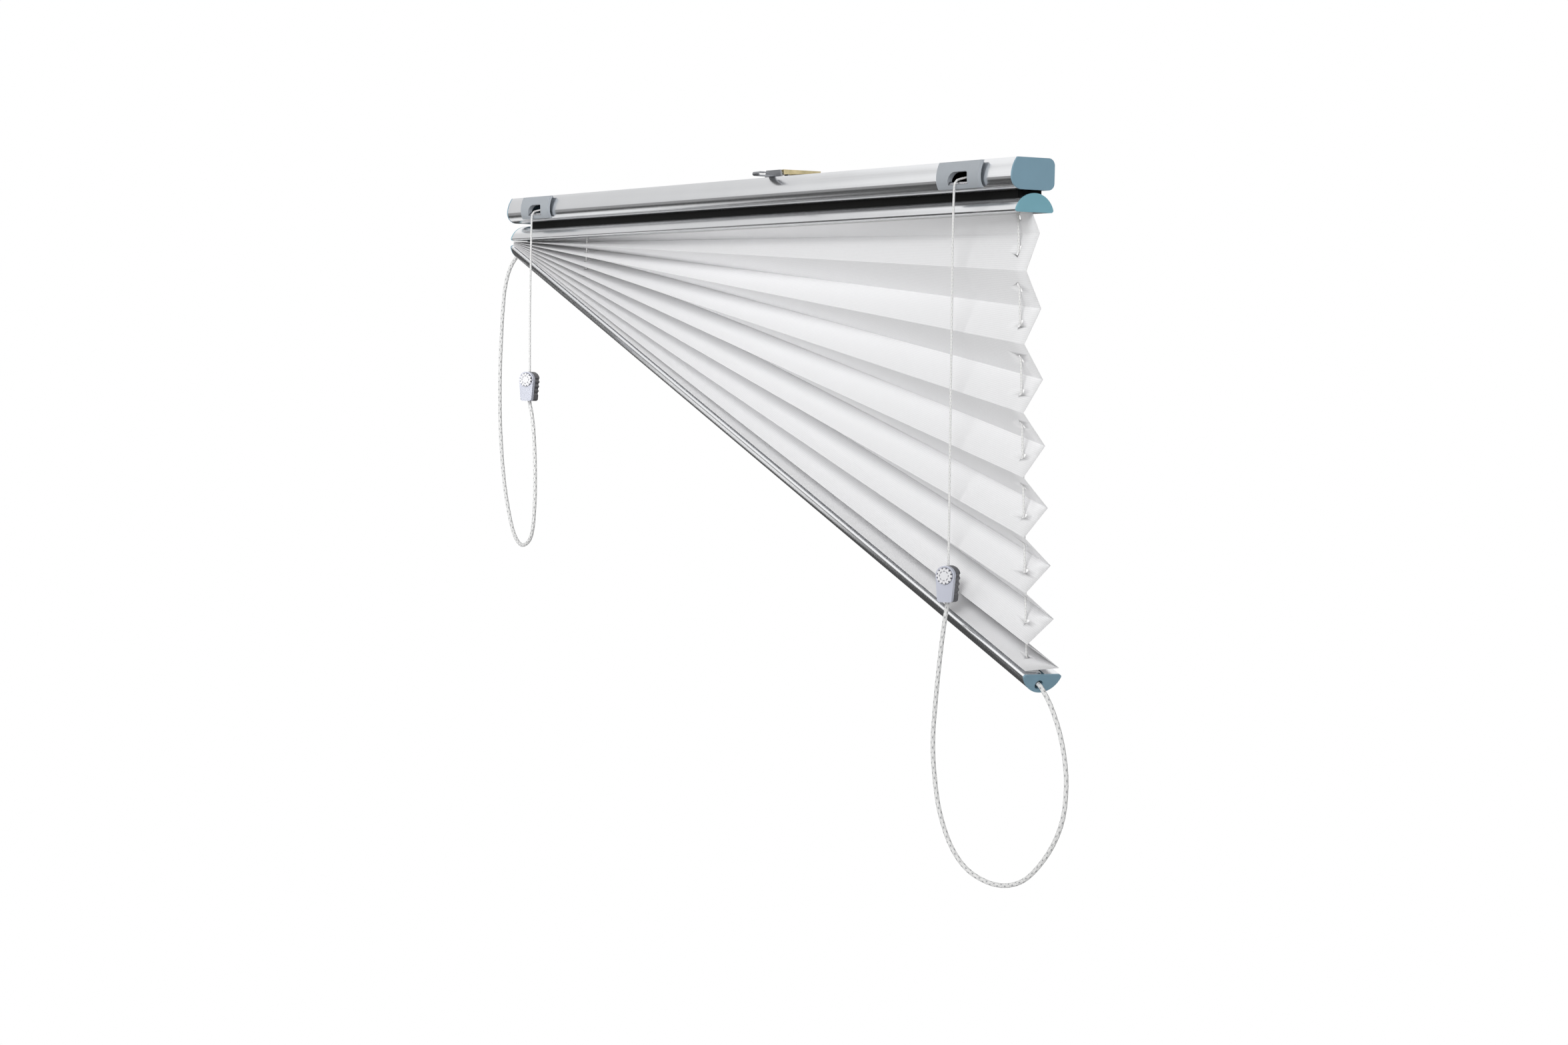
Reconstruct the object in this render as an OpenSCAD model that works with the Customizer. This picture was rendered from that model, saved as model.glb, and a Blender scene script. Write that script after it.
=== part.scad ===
// Pleated blind hung as a fan: head rail, upper fabric rail, pleated fabric, swinging lower rail and cords.
// The frame's origin is the middle of the ceiling clip's top face. +X runs along the rails, the front is -Y.

/* [Rails] */
// Length of the head rail and of the upper fabric rail
rail_len = 600; // [560:1:640]
// Length of the lower rail
lower_len = 658; // [640:1:668]
// Angle that the lower rail hangs open
fan_angle = 20; // [8:0.5:20.5]
// Height of the gathered stack where the two fabric rails meet
stack_h = 3.4; // [3.2:0.1:6]
// Distance from the ceiling clip to the middle of the rails
clip_offset = 48; // [0:1:90]
// Height of the head rail
head_h = 16; // [15:0.5:18]
// Distance from the fabric's plane to the head rail's back
head_back = 11.2; // [11:0.2:13]
// Distance from the fabric's plane to the head rail's belly
head_front = 14; // [13.5:0.5:14.5]
// Radius of the head rail's front belly
belly_r = 16; // [15:0.5:20]
// Radius of the head rail's lower front edge
chin_r = 6.4; // [5.6:0.2:6.6]
// Radius of the head rail's back edges
corner_r = 3.6; // [2.5:0.1:3.8]
// Wall of the head rail
head_wall = 1.4; // [1:0.1:1.6]
// Width of the slot in the head rail's floor
floor_slot = 8; // [7:0.5:9]
// Gap between the head rail and the upper fabric rail
rail_gap = 1.6; // [1:0.1:4]
// Width of the fabric rails
rail_w = 22.5; // [21:0.5:24]
// Height of the fabric rails
rail_h = 9.5; // [9:0.5:11]
// Wall of the fabric rails
rail_wall = 1.1; // [0.8:0.1:1.4]
// Width of the slot that the fabric enters
fabric_slot = 3.2; // [2.8:0.1:4]

/* [Fabric] */
// Width of one pleat face
pleat_w = 20.5; // [20:0.1:21]
// Thickness of the fabric, where the pleats are open
fabric_t = 0.3; // [0.25:0.01:0.4]
// How much wider the pleats open at the top of the fan
pleat_bias = 0.265; // [0.22:0.005:0.27]
// Diameter of the holes for the lift cords
cord_hole = 2.6; // [2.2:0.1:3.2]
// Thickness of the strips that hold the fabric in the rails
strip_t = 1.5; // [1:0.1:2]
// Width of those strips
strip_w = 8; // [6:0.5:9]

/* [Caps] */
// Thickness of the end caps
cap_t = 1.2; // [1:0.1:2]
// Length of the plug on an end cap
plug_len = 6; // [4:0.5:6.5]
// Diameter of the cord hole in the lower caps
cap_hole = 4.8; // [4.2:0.1:5]
// Depth of that hole's centre under the lower rail's flat side
cap_hole_z = 5.3; // [4.8:0.1:5.4]

/* [Cord outlets] */
// Distance from the rail's end to an outlet's middle
outlet_inset = 46; // [44:1:48]
// Width of an outlet
outlet_w = 40; // [36:1:42]
// How far an outlet stands out of the rail
outlet_proud = 1.8; // [1.5:0.1:2]
// Width of an outlet's window
window_w = 19; // [17:0.5:20]
// Height of the window's sill over the rail's floor
sill_z = 3.6; // [3.5:0.1:4]
// Height of the window
window_h = 6.6; // [6:0.1:7]
// Diameter of the guide roller
roller_d = 2.4; // [2:0.1:2.5]
// Diameter of the roller's pin
pin_d = 1; // [0.8:0.1:1.2]

/* [Cords] */
// Diameter of the lift and pull cords
thin_d = 1.2; // [1:0.1:1.4]
// Diameter of the loop cords
loop_d = 2.3; // [2:0.1:2.8]
// Distance of the left lift cord from the upper rail's left end
lift_inset_left = 90; // [80:1:100]
// Distance of the right lift cord from the bead of the right loop cord
lift_gap = 4.5; // [3.5:0.5:5.5]

/* [Cord connectors] */
// Height of a connector
conn_h = 18.5; // [18:0.5:20]
// Width of a connector at the top
conn_w = 10; // [9.5:0.1:10.4]
// Width of a connector at the bottom
conn_foot_w = 8; // [7:0.1:9]
// Thickness of the front shell
conn_front = 2.8; // [2.6:0.1:3.2]
// Thickness of the rear shell
conn_rear = 5.4; // [5.2:0.1:5.6]
// Turn of the hanging connectors towards the right
conn_turn = 36; // [0:1:45]
// Diameter of the push button
button_d = 8.4; // [7.6:0.1:8.6]
// Travel of the push button
button_travel = 0.8; // [0.4:0.1:0.8]

/* [Ceiling clip] */
// Height from the head rail's top to the ceiling
clip_h = 4; // [3.8:0.1:5]
// Width of the clip
clip_w = 19; // [18:0.5:22]
// Thickness of the clip's plate
clip_t = 1.2; // [1:0.1:1.3]
// Diameter of the ceiling screw's hole
screw_d = 4.5; // [3.5:0.1:5]

/* [Hidden] */
$fn = 64;

// Clearances
fit = 0.05;
play = 0.1;
soft_gap = 0.3;
face_gap = 0.3;
eps = 0.01;

// Places of the rails
mid_x = -clip_offset;
left_x = mid_x - rail_len / 2;
right_x = mid_x + rail_len / 2;
head_top = -clip_h;
head_bot = head_top - head_h;
dome_top = head_bot - rail_gap;
flat_z = dome_top - rail_h;
pivot_z = flat_z - stack_h;
dome_r = (pow(rail_w / 2, 2) + pow(rail_h, 2)) / (2 * rail_h);
edge_inset = 1;
edge_r = 1.2;

// Channel in the head rail's top, which the clip hooks into
lip_t = 1.2;
channel_h = 2;
lip_front = -5;
lip_back = 7;
channel_undercut = 2;
channel_floor = head_h - lip_t - channel_h;
hollow_top = channel_floor - head_wall;

// Places along the rails
function end_x(side) = mid_x + side * rail_len / 2;
function outlet_x(side) = end_x(side) - side * outlet_inset;
hanger_inset = 27;
function hanger_x(side) = end_x(side) - side * hanger_inset;
function lift_x(side) = side < 0 ? left_x + lift_inset_left : right_x - lift_inset_right;
function lift_s(side) = side < 0 ? lift_inset_left / cos(fan_angle) : lower_len - lift_inset_right;

// A point of the lower rail, s along it from the pivot and d below its flat side
function low_point(s, d) = [left_x + s * cos(fan_angle) - d * sin(fan_angle), 0,
                            pivot_z - s * sin(fan_angle) - d * cos(fan_angle)];

// Cord beads inside the lower rail
cap_hole_y = -1.2;
loop_bead_d = cap_hole + 0.8;
lift_bead_d = 4.6;
bead_len = 3.5;
strip_gap = 0.5;
strip_end = plug_len + bead_len + strip_gap;
lift_inset_right = plug_len + bead_len + lift_gap;

// Colours
aluminium = "silver";
cap_blue = [0.49, 0.62, 0.68];
outlet_grey = [0.70, 0.72, 0.75];
black_plastic = [0.08, 0.08, 0.08];
cloth_white = [0.93, 0.93, 0.92];
cord_white = [0.95, 0.95, 0.95];
steel = [0.62, 0.62, 0.64];
zinc_yellow = [0.72, 0.63, 0.36];
shell_grey = [0.80, 0.81, 0.86];
rib_grey = [0.32, 0.32, 0.34];
nylon = [0.88, 0.88, 0.86];

// Places of the hanging connectors and the routes of the cords, chosen by hand
conn_y = -head_front - 3.5;
conn_z_left = -125;
conn_z_right = -218.5;
cord_shift = [-2, -1.5];
conn_lean = [2.4, 4];
socket_thin = 2.6;
socket_loop = 5;
pull_drop = [[0, 0.2, 6.6], [0, -2, 5.7], [0, -3, 3.7], [0, -3.3, -2], [0.05, -3.4, -26], [0.25, -3.5, -56]];
rail_run = [[0, 0, 4], [-0.8, -0.3, 6.8], [-3, -1, 8.6], [-6, -2, 9.2]];
outlet_run = [[10, 6, 8.4], [4.5, 3.5, 7.8], [1.3, 2, 7.2], [0, 0.2, 6.6]];
cap_exit_drawn = [[-351.9, -1.2, -38.7], [270.6, -1.2, -265.3]];
conn_drawn = [[-301.6, -17.5, -125], [208.5, -17.5, -218.5]];
loop_left_route = [[-355.3, -1.2, -37.8], [-358.6, -1.2, -39.2], [-361.8, -1.3, -41.8], [-366.5, -1.6, -45.2],
    [-370.3, -2.3, -50.4], [-371.6, -3.6, -57.5], [-370.8, -5.5, -69], [-367.8, -8, -93],
    [-364.9, -9.7, -123], [-361.2, -10.5, -151], [-354.3, -11.2, -179], [-345, -12, -200.5], [-331.4, -13.3, -219.2],
    [-316, -15, -226.6], [-300.2, -17, -224], [-290.5, -18.7, -216], [-285.7, -19.8, -200],
    [-285.5, -19.9, -184], [-288.7, -19.3, -163], [-295, -18.2, -145.5]];
loop_right_route = [[273.8, -0.8, -268.3], [277.6, -0.4, -272.4], [282, 0, -278.6], [286.8, 0.5, -287.5],
    [290.6, 0.9, -298.5], [292.8, 1, -311], [291.8, 0.8, -326], [287.2, 0, -338.5], [279, -1.6, -350.5],
    [267, -3.8, -361.5], [255, -6.6, -366.5], [241, -9.8, -366.8], [226.6, -13.5, -361.8], [215, -16, -351.5],
    [206.6, -17.8, -335.7], [202, -18.5, -319], [200, -19, -300.5], [201, -18.7, -280], [203.6, -18.2, -256],
    [206.6, -17.7, -236.5]];

function picked(list, side) = side < 0 ? list[0] : list[1];
function cord_x(side) = outlet_x(side) + picked(cord_shift, side);
function conn_at(side) =
    [cord_x(side) + picked(conn_lean, side), conn_y, side < 0 ? conn_z_left : conn_z_right];
function pull_end(side) = conn_at(side) + [0, 0, conn_h / 2 - socket_thin];
function loop_end(side) = conn_at(side) - [0, 0, conn_h / 2 - socket_loop];
function shifted(route, by) = [for (p = route) p + by];
function outlet_base(side) = [cord_x(side), -head_front, head_bot];
function eased(route, from, to) =
    [for (i = [0:len(route) - 1]) route[i] + mixed(from, to, (i + 1) / (len(route) + 1))];
function leaned(route, lean) = [for (p = route) [p[0] * lean, p[1], p[2]]];
function pull_route(side) =
    concat(shifted(leaned(pull_drop, picked(conn_lean, side)), outlet_base(side)), [pull_end(side)]);
function lift_route(side) = concat(
    [low_point(lift_s(side), rail_wall + strip_t - soft_gap), low_point(lift_s(side), 0),
     [lift_x(side), 0, flat_z], [lift_x(side), 0, dome_top]],
    shifted(rail_run, [lift_x(side), 0, head_bot]), shifted(outlet_run, outlet_base(side)));
function hole_point(s) = low_point(s, cap_hole_z) + [0, cap_hole_y, 0];
function cap_exit(side) = side < 0
    ? [hole_point(plug_len - soft_gap), hole_point(-cap_t - 1)]
    : [hole_point(lower_len - plug_len + soft_gap), hole_point(lower_len + cap_t + 1)];
function loop_route(side) = concat(cap_exit(side),
    eased(side < 0 ? loop_left_route : loop_right_route, cap_exit(side)[1] - picked(cap_exit_drawn, side),
          conn_at(side) - picked(conn_drawn, side)),
    [loop_end(side) - [0, 0, socket_loop], loop_end(side)]);

// Sweep of a round section along a route
function unit(v) = v / norm(v);
function heading(p, i) = unit(p[min(i + 1, len(p) - 1)] - p[max(i - 1, 0)]);
function carried(b, t) = unit(b - (b * t) * t);
function section_axes(p, start) = [for (i = 0, b = carried(start, heading(p, 0)); i < len(p);
    i = i + 1, b = i < len(p) ? carried(b, heading(p, i)) : b) b];
// Walls between rings, two triangles to a field; from side "turned" on, the fields are split the other way
function wall_faces(rings, sides, turned = 1000) = [for (i = [0:rings - 2], j = [0:sides - 1], k = [0, 1])
    let (a = i * sides + j, b = i * sides + (j + 1) % sides, c = b + sides, d = a + sides)
    j < turned ? (k == 0 ? [a, b, c] : [a, c, d]) : (k == 0 ? [a, b, d] : [b, c, d])];
function end_faces(rings, sides) =
    [[for (j = [sides - 1:-1:0]) j], [for (j = [0:sides - 1]) (rings - 1) * sides + j]];

module tube(route, d, sides = 8, start = [0, 1, 0]) {
    axes = section_axes(route, start);
    points = [for (i = [0:len(route) - 1], j = [0:sides - 1])
        let (t = heading(route, i), a = -360 * j / sides)
        route[i] + d / 2 * (cos(a) * axes[i] + sin(a) * cross(t, axes[i]))];
    polyhedron(points, concat(wall_faces(len(route), sides), end_faces(len(route), sides)), convexity = 8);
}

// Extrusion of a YZ outline along X
module along_x(x0, length) {
    translate([x0, 0, 0]) rotate([90, 0, 90]) linear_extrude(length) children();
}

module lower_frame() {
    translate([left_x, 0, pivot_z]) rotate([0, fan_angle, 0]) children();
}

// Outline of the head rail, set in by g, with its floor at zero
module head_outline(g = 0) {
    belly_y = belly_r - head_front;
    chin_y = chin_r - head_front;
    intersection() {
        translate([belly_y, chin_r]) circle(belly_r - g);
        translate([-head_front + g, chin_r]) square([belly_y + head_front - g, head_h - g - chin_r]);
    }
    intersection() {
        translate([chin_y, chin_r]) circle(chin_r - g);
        translate([-head_front + g, g]) square([chin_r - g, chin_r - g]);
    }
    translate([chin_y, g]) square([belly_y - chin_y, chin_r - g]);
    translate([belly_y, g]) square([head_back - corner_r - belly_y, head_h - 2 * g]);
    translate([head_back - corner_r, corner_r]) square([corner_r - g, head_h - 2 * corner_r]);
    for (z = [corner_r, head_h - corner_r]) translate([head_back - corner_r, z]) circle(corner_r - g);
}

// Half-moon outline of the fabric rails, with its flat side at zero and its two edges rounded
module dome_outline() {
    lift = edge_r - rail_h + dome_r;
    reach = sqrt(pow(dome_r - edge_r, 2) - pow(lift, 2));
    fan = [2 * reach, 2 * lift];
    intersection() {
        translate([0, rail_h - dome_r]) circle(dome_r);
        polygon([[reach, edge_r], [fan[0], rail_h - dome_r + fan[1]], [fan[0], 2 * rail_h],
                 [-fan[0], 2 * rail_h], [-fan[0], rail_h - dome_r + fan[1]], [-reach, edge_r]]);
    }
    translate([-reach, 0]) square([2 * reach, edge_r]);
    for (e = [-1, 1]) translate([e * reach, edge_r]) circle(edge_r);
}

// Inside of that outline, set in by g
module dome_inside(g) {
    intersection() {
        translate([0, rail_h - dome_r]) circle(dome_r - g);
        translate([-rail_w, g]) square([2 * rail_w, rail_h]);
    }
}

module fabric_rail_outline() {
    difference() {
        dome_outline();
        dome_inside(rail_wall);
        translate([-fabric_slot / 2, -1]) square([fabric_slot, rail_wall + 2]);
    }
}

module head_rail() {
    color(aluminium) translate([0, 0, head_bot]) difference() {
        along_x(left_x, rail_len) difference() {
            head_outline();
            intersection() {
                head_outline(head_wall);
                translate([-head_front, 0]) square([head_front + head_back, hollow_top]);
            }
            translate([-floor_slot / 2, -1]) square([floor_slot, head_wall + 2]);
            translate([lip_front, channel_floor]) square([lip_back - lip_front, head_h]);
            translate([lip_front - channel_undercut, channel_floor])
                square([lip_back - lip_front + 2 * channel_undercut, channel_h]);
        }
        for (side = [-1, 1]) outlet_opening(side);
    }
}

// Opening in the head rail's front wall, which the outlet's ears reach through
ear_t = 2;
ear_h = 3;
ear_gap = 0.6;
opening_gap = 0.6;
wall_reach = 7;
module outlet_opening(side) {
    half = window_w / 2 + ear_gap / 2 + ear_t + ear_gap;
    low = sill_z - ear_h / 2 - opening_gap;
    translate([outlet_x(side) - half, -head_front - 2, low])
        cube([2 * half, head_front + 2 - wall_reach, sill_z + window_h + opening_gap - low]);
}

module head_cap(side) {
    color(cap_blue) translate([0, 0, head_bot]) {
        along_x(side < 0 ? left_x - cap_t : right_x, cap_t) head_outline();
        along_x(side < 0 ? left_x - eps : right_x - plug_len, plug_len + eps) intersection() {
            head_outline(head_wall + play);
            translate([-head_front, 0]) square([head_front + head_back, hollow_top - play]);
        }
    }
}

// Window of an outlet, rounded at its left
module window_outline() {
    swell = 7;
    soft = 1.5;
    polygon(concat(
        [for (i = [0:8]) [-window_w / 2 + swell - swell * cos(i * 90 / 8), window_h * sin(i * 90 / 8)]],
        [for (i = [0:4])
            [window_w / 2 - soft + soft * sin(i * 90 / 4), window_h - soft + soft * cos(i * 90 / 4)]],
        [[window_w / 2, 0]]));
}

// Axis of the outlet's guide roller, from the head rail's floor
roller_y = -head_front - 0.4;
roller_z = sill_z + 0.4;
outlet_reach = 8.5;
roller_room = 0.4;

// The head rail's outline grown by g and leaned forward about its lower front edge, as the outlets are
module outlet_outline(g) {
    tilt = 8;
    translate([chin_r - head_front, 0]) rotate(tilt) translate([head_front - chin_r, 0]) head_outline(-g);
}

module cord_outlet(side) {
    slot_len = 4;
    ear_d = 2.3;
    lean_room = 3;
    outlet_low = 1.6;
    outlet_short = 0.5;
    x0 = outlet_x(side);
    ear_x = window_w / 2 + ear_gap / 2 + ear_t / 2;
    slot_x = outlet_w / 2 - slot_len / 2;
    color(outlet_grey) translate([0, 0, head_bot]) difference() {
        union() {
            along_x(x0 - outlet_w / 2, outlet_w) difference() {
                intersection() {
                    union() {
                        head_outline(-outlet_proud);
                        outlet_outline(outlet_proud);
                    }
                    translate([-head_front - outlet_proud - lean_room, outlet_low])
                        square([head_front + outlet_proud + lean_room - outlet_reach,
                                head_h - outlet_low - outlet_short]);
                }
                head_outline(-fit);
            }
            for (e = [-1, 1]) translate([x0 + e * ear_x, ear_d / 2 - head_front - 1.2, roller_z])
                cube([ear_t, ear_d, ear_h], center = true);
        }
        for (e = [-1, 1]) along_x(x0 + e * slot_x - slot_len / 2 - eps, slot_len + 2 * eps)
            outlet_outline(fit);
        translate([x0, -head_front + 4, sill_z]) rotate([90, 0, 0]) linear_extrude(10) window_outline();
        translate([x0 - window_w / 2 - ear_gap / 2, roller_y, roller_z]) rotate([0, 90, 0])
            cylinder(d = roller_d + 2 * roller_room, h = window_w + ear_gap);
        translate([x0, roller_y, roller_z]) rotate([0, 90, 0])
            cylinder(d = pin_d + 0.02, h = window_w + ear_gap + 2 * ear_t + 1, center = true);
    }
}

module outlet_pin(side) {
    color(steel) translate([outlet_x(side), roller_y, head_bot + roller_z]) rotate([0, 90, 0])
        cylinder(d = pin_d, h = window_w + ear_gap + 2 * ear_t, center = true);
}

module outlet_roller(side) {
    color(steel) translate([outlet_x(side), roller_y, head_bot + roller_z]) rotate([0, 90, 0]) difference() {
        cylinder(d = roller_d, h = window_w - 0.2, center = true);
        cylinder(d = pin_d + 2 * fit, h = window_w, center = true);
    }
}

// Guide in the head rail's floor, where a lift cord drops out
module drop_guide(side) {
    flange_t = 1.2;
    flange_d = 10;
    color(nylon) translate([lift_x(side), 0, head_bot]) difference() {
        union() {
            cylinder(d = floor_slot - 2 * play, h = head_wall + flange_t);
            translate([0, 0, head_wall]) cylinder(d = flange_d, h = flange_t);
        }
        translate([0, 0, -1]) cylinder(d = cord_hole, h = head_wall + flange_t + 2);
    }
}

// Black strip between the rails, from the left hanger to the right end
neck_d = 5;
carrier_w = 14;
carrier_lead = 6;
carrier_end = 4;
module rail_carrier() {
    x0 = hanger_x(-1) - carrier_lead;
    run = right_x - carrier_end - x0;
    skirt = dome_r - sqrt(pow(dome_r, 2) - pow(carrier_w / 2, 2)) - fit;
    color(black_plastic) difference() {
        translate([x0, -carrier_w / 2, dome_top - skirt]) cube([run, carrier_w, rail_gap + skirt - fit]);
        translate([x0 - 1, 0, dome_top - dome_r]) rotate([0, 90, 0]) cylinder(r = dome_r + fit, h = run + 2);
        for (side = [-1, 1]) {
            translate([hanger_x(side), 0, dome_top - 1]) cylinder(d = neck_d + 2 * play, h = rail_gap + 2);
            translate([lift_x(side), 0, dome_top - 1]) cylinder(d = cord_hole, h = rail_gap + 2);
        }
    }
}

// Stud that hangs the upper fabric rail from the head rail's floor
foot_d = 8;
foot_t = 1.6;
module rail_hanger(side) {
    head_d = 11;
    head_t = 2;
    axis_z = dome_top - dome_r;
    foot_top = axis_z + sqrt(pow(dome_r - rail_wall, 2) - pow(foot_d / 2, 2)) - fit;
    color(black_plastic) translate([hanger_x(side), 0, 0]) {
        translate([0, 0, head_bot + head_wall]) cylinder(d = head_d, h = head_t);
        translate([0, 0, foot_top - eps]) cylinder(d = neck_d, h = head_bot + head_wall - foot_top + 2 * eps);
        translate([0, 0, foot_top - foot_t]) cylinder(d = foot_d, h = foot_t);
    }
}

module upper_rail() {
    color(aluminium) difference() {
        translate([0, 0, flat_z]) along_x(left_x, rail_len) fabric_rail_outline();
        for (side = [-1, 1]) {
            translate([hanger_x(side), 0, dome_top - rail_wall - 2])
                cylinder(d = neck_d + 4 * play, h = rail_wall + 4);
            translate([lift_x(side), 0, dome_top - rail_wall - 2]) cylinder(d = cord_hole, h = rail_wall + 4);
        }
    }
}

module upper_cap(side) {
    color(cap_blue) translate([0, 0, flat_z]) {
        along_x(side < 0 ? left_x - cap_t : right_x, cap_t) dome_outline();
        along_x(side < 0 ? left_x - eps : right_x - plug_len, plug_len + eps) dome_inside(rail_wall + play);
    }
}

module upper_strip() {
    gap = plug_len + strip_gap;
    color(nylon) difference() {
        translate([left_x + gap, -strip_w / 2, flat_z + rail_wall])
            cube([rail_len - 2 * gap, strip_w, strip_t]);
        for (side = [-1, 1]) translate([lift_x(side), 0, flat_z])
            cylinder(d = cord_hole, h = rail_wall + strip_t + 1);
    }
}

// Pleats. Fold k is straight from the stack at the left to the fan's right edge, even folds at the back.
folds = 16;
first_part = 0.51;
last_part = 0.2;
edge_bow = 4;
edge_flare = 1.6;
fan_left = left_x + edge_inset;
fan_right = right_x - edge_inset;
fan_low = low_point(lower_len - edge_inset, 0);
fan_drop = flat_z - fan_low[2];
edge_lean = (fan_low[0] - fan_right) / fan_drop;
// Shares of the drop: even in the closed stack, wider at the top of the open edge; the last fold lies down
function even_share(k) = (k + first_part) / (folds - 1 + first_part + last_part);
function hung_share(k) = let (q = (k + first_part) / (folds - 2 + first_part + last_part))
    (1 + pleat_bias) * q - pleat_bias * q * q;
function fold_share(k) = k <= folds - 2
    ? hung_share(k)
    : mixed(hung_share(folds - 2), 1, (k - folds + 2) / 2);
function left_drop(share) = face_gap + (stack_h - 2 * face_gap) * share;
function right_drop(share) = face_gap + (fan_drop - 2 * face_gap) * share;
function mixed(a, b, u) = a + (b - a) * u;
function fold_pitch(k, u) = mixed(
    (stack_h - 2 * face_gap) * (even_share(k + 0.5) - even_share(k - 0.5)),
    (fan_drop - 2 * face_gap) * (fold_share(k + 0.5) - fold_share(k - 0.5)), u);
// The cloth is pressed thinner where the stack is closed
function cloth_t(u) = min(fabric_t, 0.6 * fold_pitch(folds - 1, u));
function fold_depth(k, u) = sqrt(max(pow(pleat_w, 2) - pow(fold_pitch(k, u), 2), 1));
// The right edge leans out to the lower rail's end and bows in a little halfway
function edge_x(drop) = let (q = min(max(drop / fan_drop, 0), 1))
    fan_right + edge_lean * drop - 4 * edge_bow * q * (1 - q);
function fabric_point(u, y, left, right, lift, flare = 0) =
    [mixed(fan_left, edge_x(right - lift) + flare, u), y, flat_z - mixed(left, right, u) + lift];
function fold_point(k, u, y, lift) =
    fabric_point(u, y, left_drop(even_share(k)), right_drop(fold_share(k)), lift, edge_flare);

// Points of one face of the fabric at a fold: two at the fold's nose, one inside the bend
function fold_face(k, u, face) = let (
    fold_side = k % 2 == 0 ? 1 : -1,
    depth = fold_depth(k, u),
    nose = cloth_t(u) * pleat_w / depth / 2,
    bend = cloth_t(u) * pleat_w / fold_pitch(k, u) / 2)
    fold_side == face
    ? [fold_point(k, u, fold_side * depth / 2, nose), fold_point(k, u, fold_side * depth / 2, -nose)]
    : [fold_point(k, u, fold_side * (depth / 2 - bend), 0)];
function fabric_face(u, face) = concat(
    [fabric_point(u, face * cloth_t(u) / 2, -rail_wall, -rail_wall, 0),
     fabric_point(u, face * cloth_t(u) / 2, left_drop(0), right_drop(0), 0)],
    [for (k = [0:folds - 1], p = fold_face(k, u, face)) p],
    [fabric_point(u, face * cloth_t(u) / 2, left_drop(1), right_drop(1), face > 0 ? cloth_t(u) / 2 : 0),
     fabric_point(u, face * cloth_t(u) / 2, stack_h + hem, fan_drop + hem, 0)]);
function reversed(list) = [for (i = [len(list) - 1:-1:0]) list[i]];
function fabric_ring(u) = concat(fabric_face(u, 1), reversed(fabric_face(u, -1)));
hem = rail_wall - soft_gap;
stations = 10;

module pleated_fabric() {
    rings = [for (i = [0:stations]) fabric_ring(pow(i / stations, 1.5))];
    sides = len(rings[0]);
    back = len(fabric_face(1, 1));
    color(cloth_white) difference() {
        polyhedron([for (ring = rings, p = ring) p],
                   concat(wall_faces(stations + 1, sides, back), end_faces(stations + 1, sides)),
                   convexity = 20);
        for (side = [-1, 1]) cord_bore(side);
    }
}

// Straight bore along a lift cord, through every pleat
module cord_bore(side) {
    top = [lift_x(side), 0, flat_z];
    low = low_point(lift_s(side), 0);
    run = low - top;
    translate(top - 3 * unit(run)) rotate([0, 180 - atan2(run[0], -run[2]), 0])
        cylinder(d = cord_hole, h = norm(run) + 6, $fn = 16);
}

module lower_rail() {
    color(aluminium) lower_frame() mirror([0, 0, 1]) along_x(0, lower_len) fabric_rail_outline();
}

module lower_cap(side) {
    color(cap_blue) lower_frame() difference() {
        mirror([0, 0, 1]) {
            along_x(side < 0 ? -cap_t : lower_len, cap_t) dome_outline();
            along_x(side < 0 ? -eps : lower_len - plug_len, plug_len + eps) dome_inside(rail_wall + play);
        }
        translate([side < 0 ? 0 : lower_len, cap_hole_y, -cap_hole_z]) rotate([0, 90, 0])
            cylinder(d = cap_hole, h = 2 * (plug_len + cap_t) + 2, center = true);
    }
}

module lower_strip() {
    color(nylon) lower_frame() difference() {
        translate([strip_end, -strip_w / 2, -rail_wall - strip_t])
            cube([lower_len - 2 * strip_end, strip_w, strip_t]);
        for (side = [-1, 1]) translate([lift_s(side), 0, -rail_wall - strip_t - 1])
            cylinder(d = cord_hole, h = strip_t + 2);
    }
}

// Bead that stops a loop cord behind its cap
module loop_anchor(side) {
    color(steel) lower_frame()
        translate([side < 0 ? plug_len : lower_len - plug_len - bead_len, cap_hole_y, -cap_hole_z])
            rotate([0, 90, 0]) cylinder(d = loop_bead_d, h = bead_len);
}

// Bead that stops a lift cord under the lower strip
module lift_anchor(side) {
    color(steel) lower_frame() translate([lift_s(side), 0, -rail_wall - strip_t - bead_len])
        cylinder(d = lift_bead_d, h = bead_len);
}

module lift_cord(side) {
    color(cord_white) tube(lift_route(side), thin_d);
}

module pull_cord(side) {
    color(cord_white) tube(pull_route(side), thin_d, start = [1, 0, 0]);
}

module loop_cord(side) {
    color(cord_white) tube(loop_route(side), loop_d);
}

// Frame of a hanging connector, its cord on the Z axis and its front towards -Y
module conn_frame(side) {
    translate(conn_at(side)) rotate([0, 0, conn_turn]) children();
}

function arc(c, r, from, to, n = 8) =
    [for (i = [0:n]) let (a = from + (to - from) * i / n) c + r * [cos(a), sin(a)]];

// Outline of a connector from the front: round head and a narrower foot
module conn_outline(grow = 0) {
    head_r = conn_w / 2 - 0.05;
    foot_r = 1.5;
    x = conn_w / 2 + grow;
    f = conn_foot_w / 2 + grow;
    h = conn_h / 2;
    polygon(concat(arc([x - head_r, h - head_r], head_r, 0, 90, 14),
                   arc([head_r - x, h - head_r], head_r, 90, 180, 14),
                   arc([foot_r - f, foot_r - h], foot_r, 180, 270),
                   arc([f - foot_r, foot_r - h], foot_r, 270, 360)));
}

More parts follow.
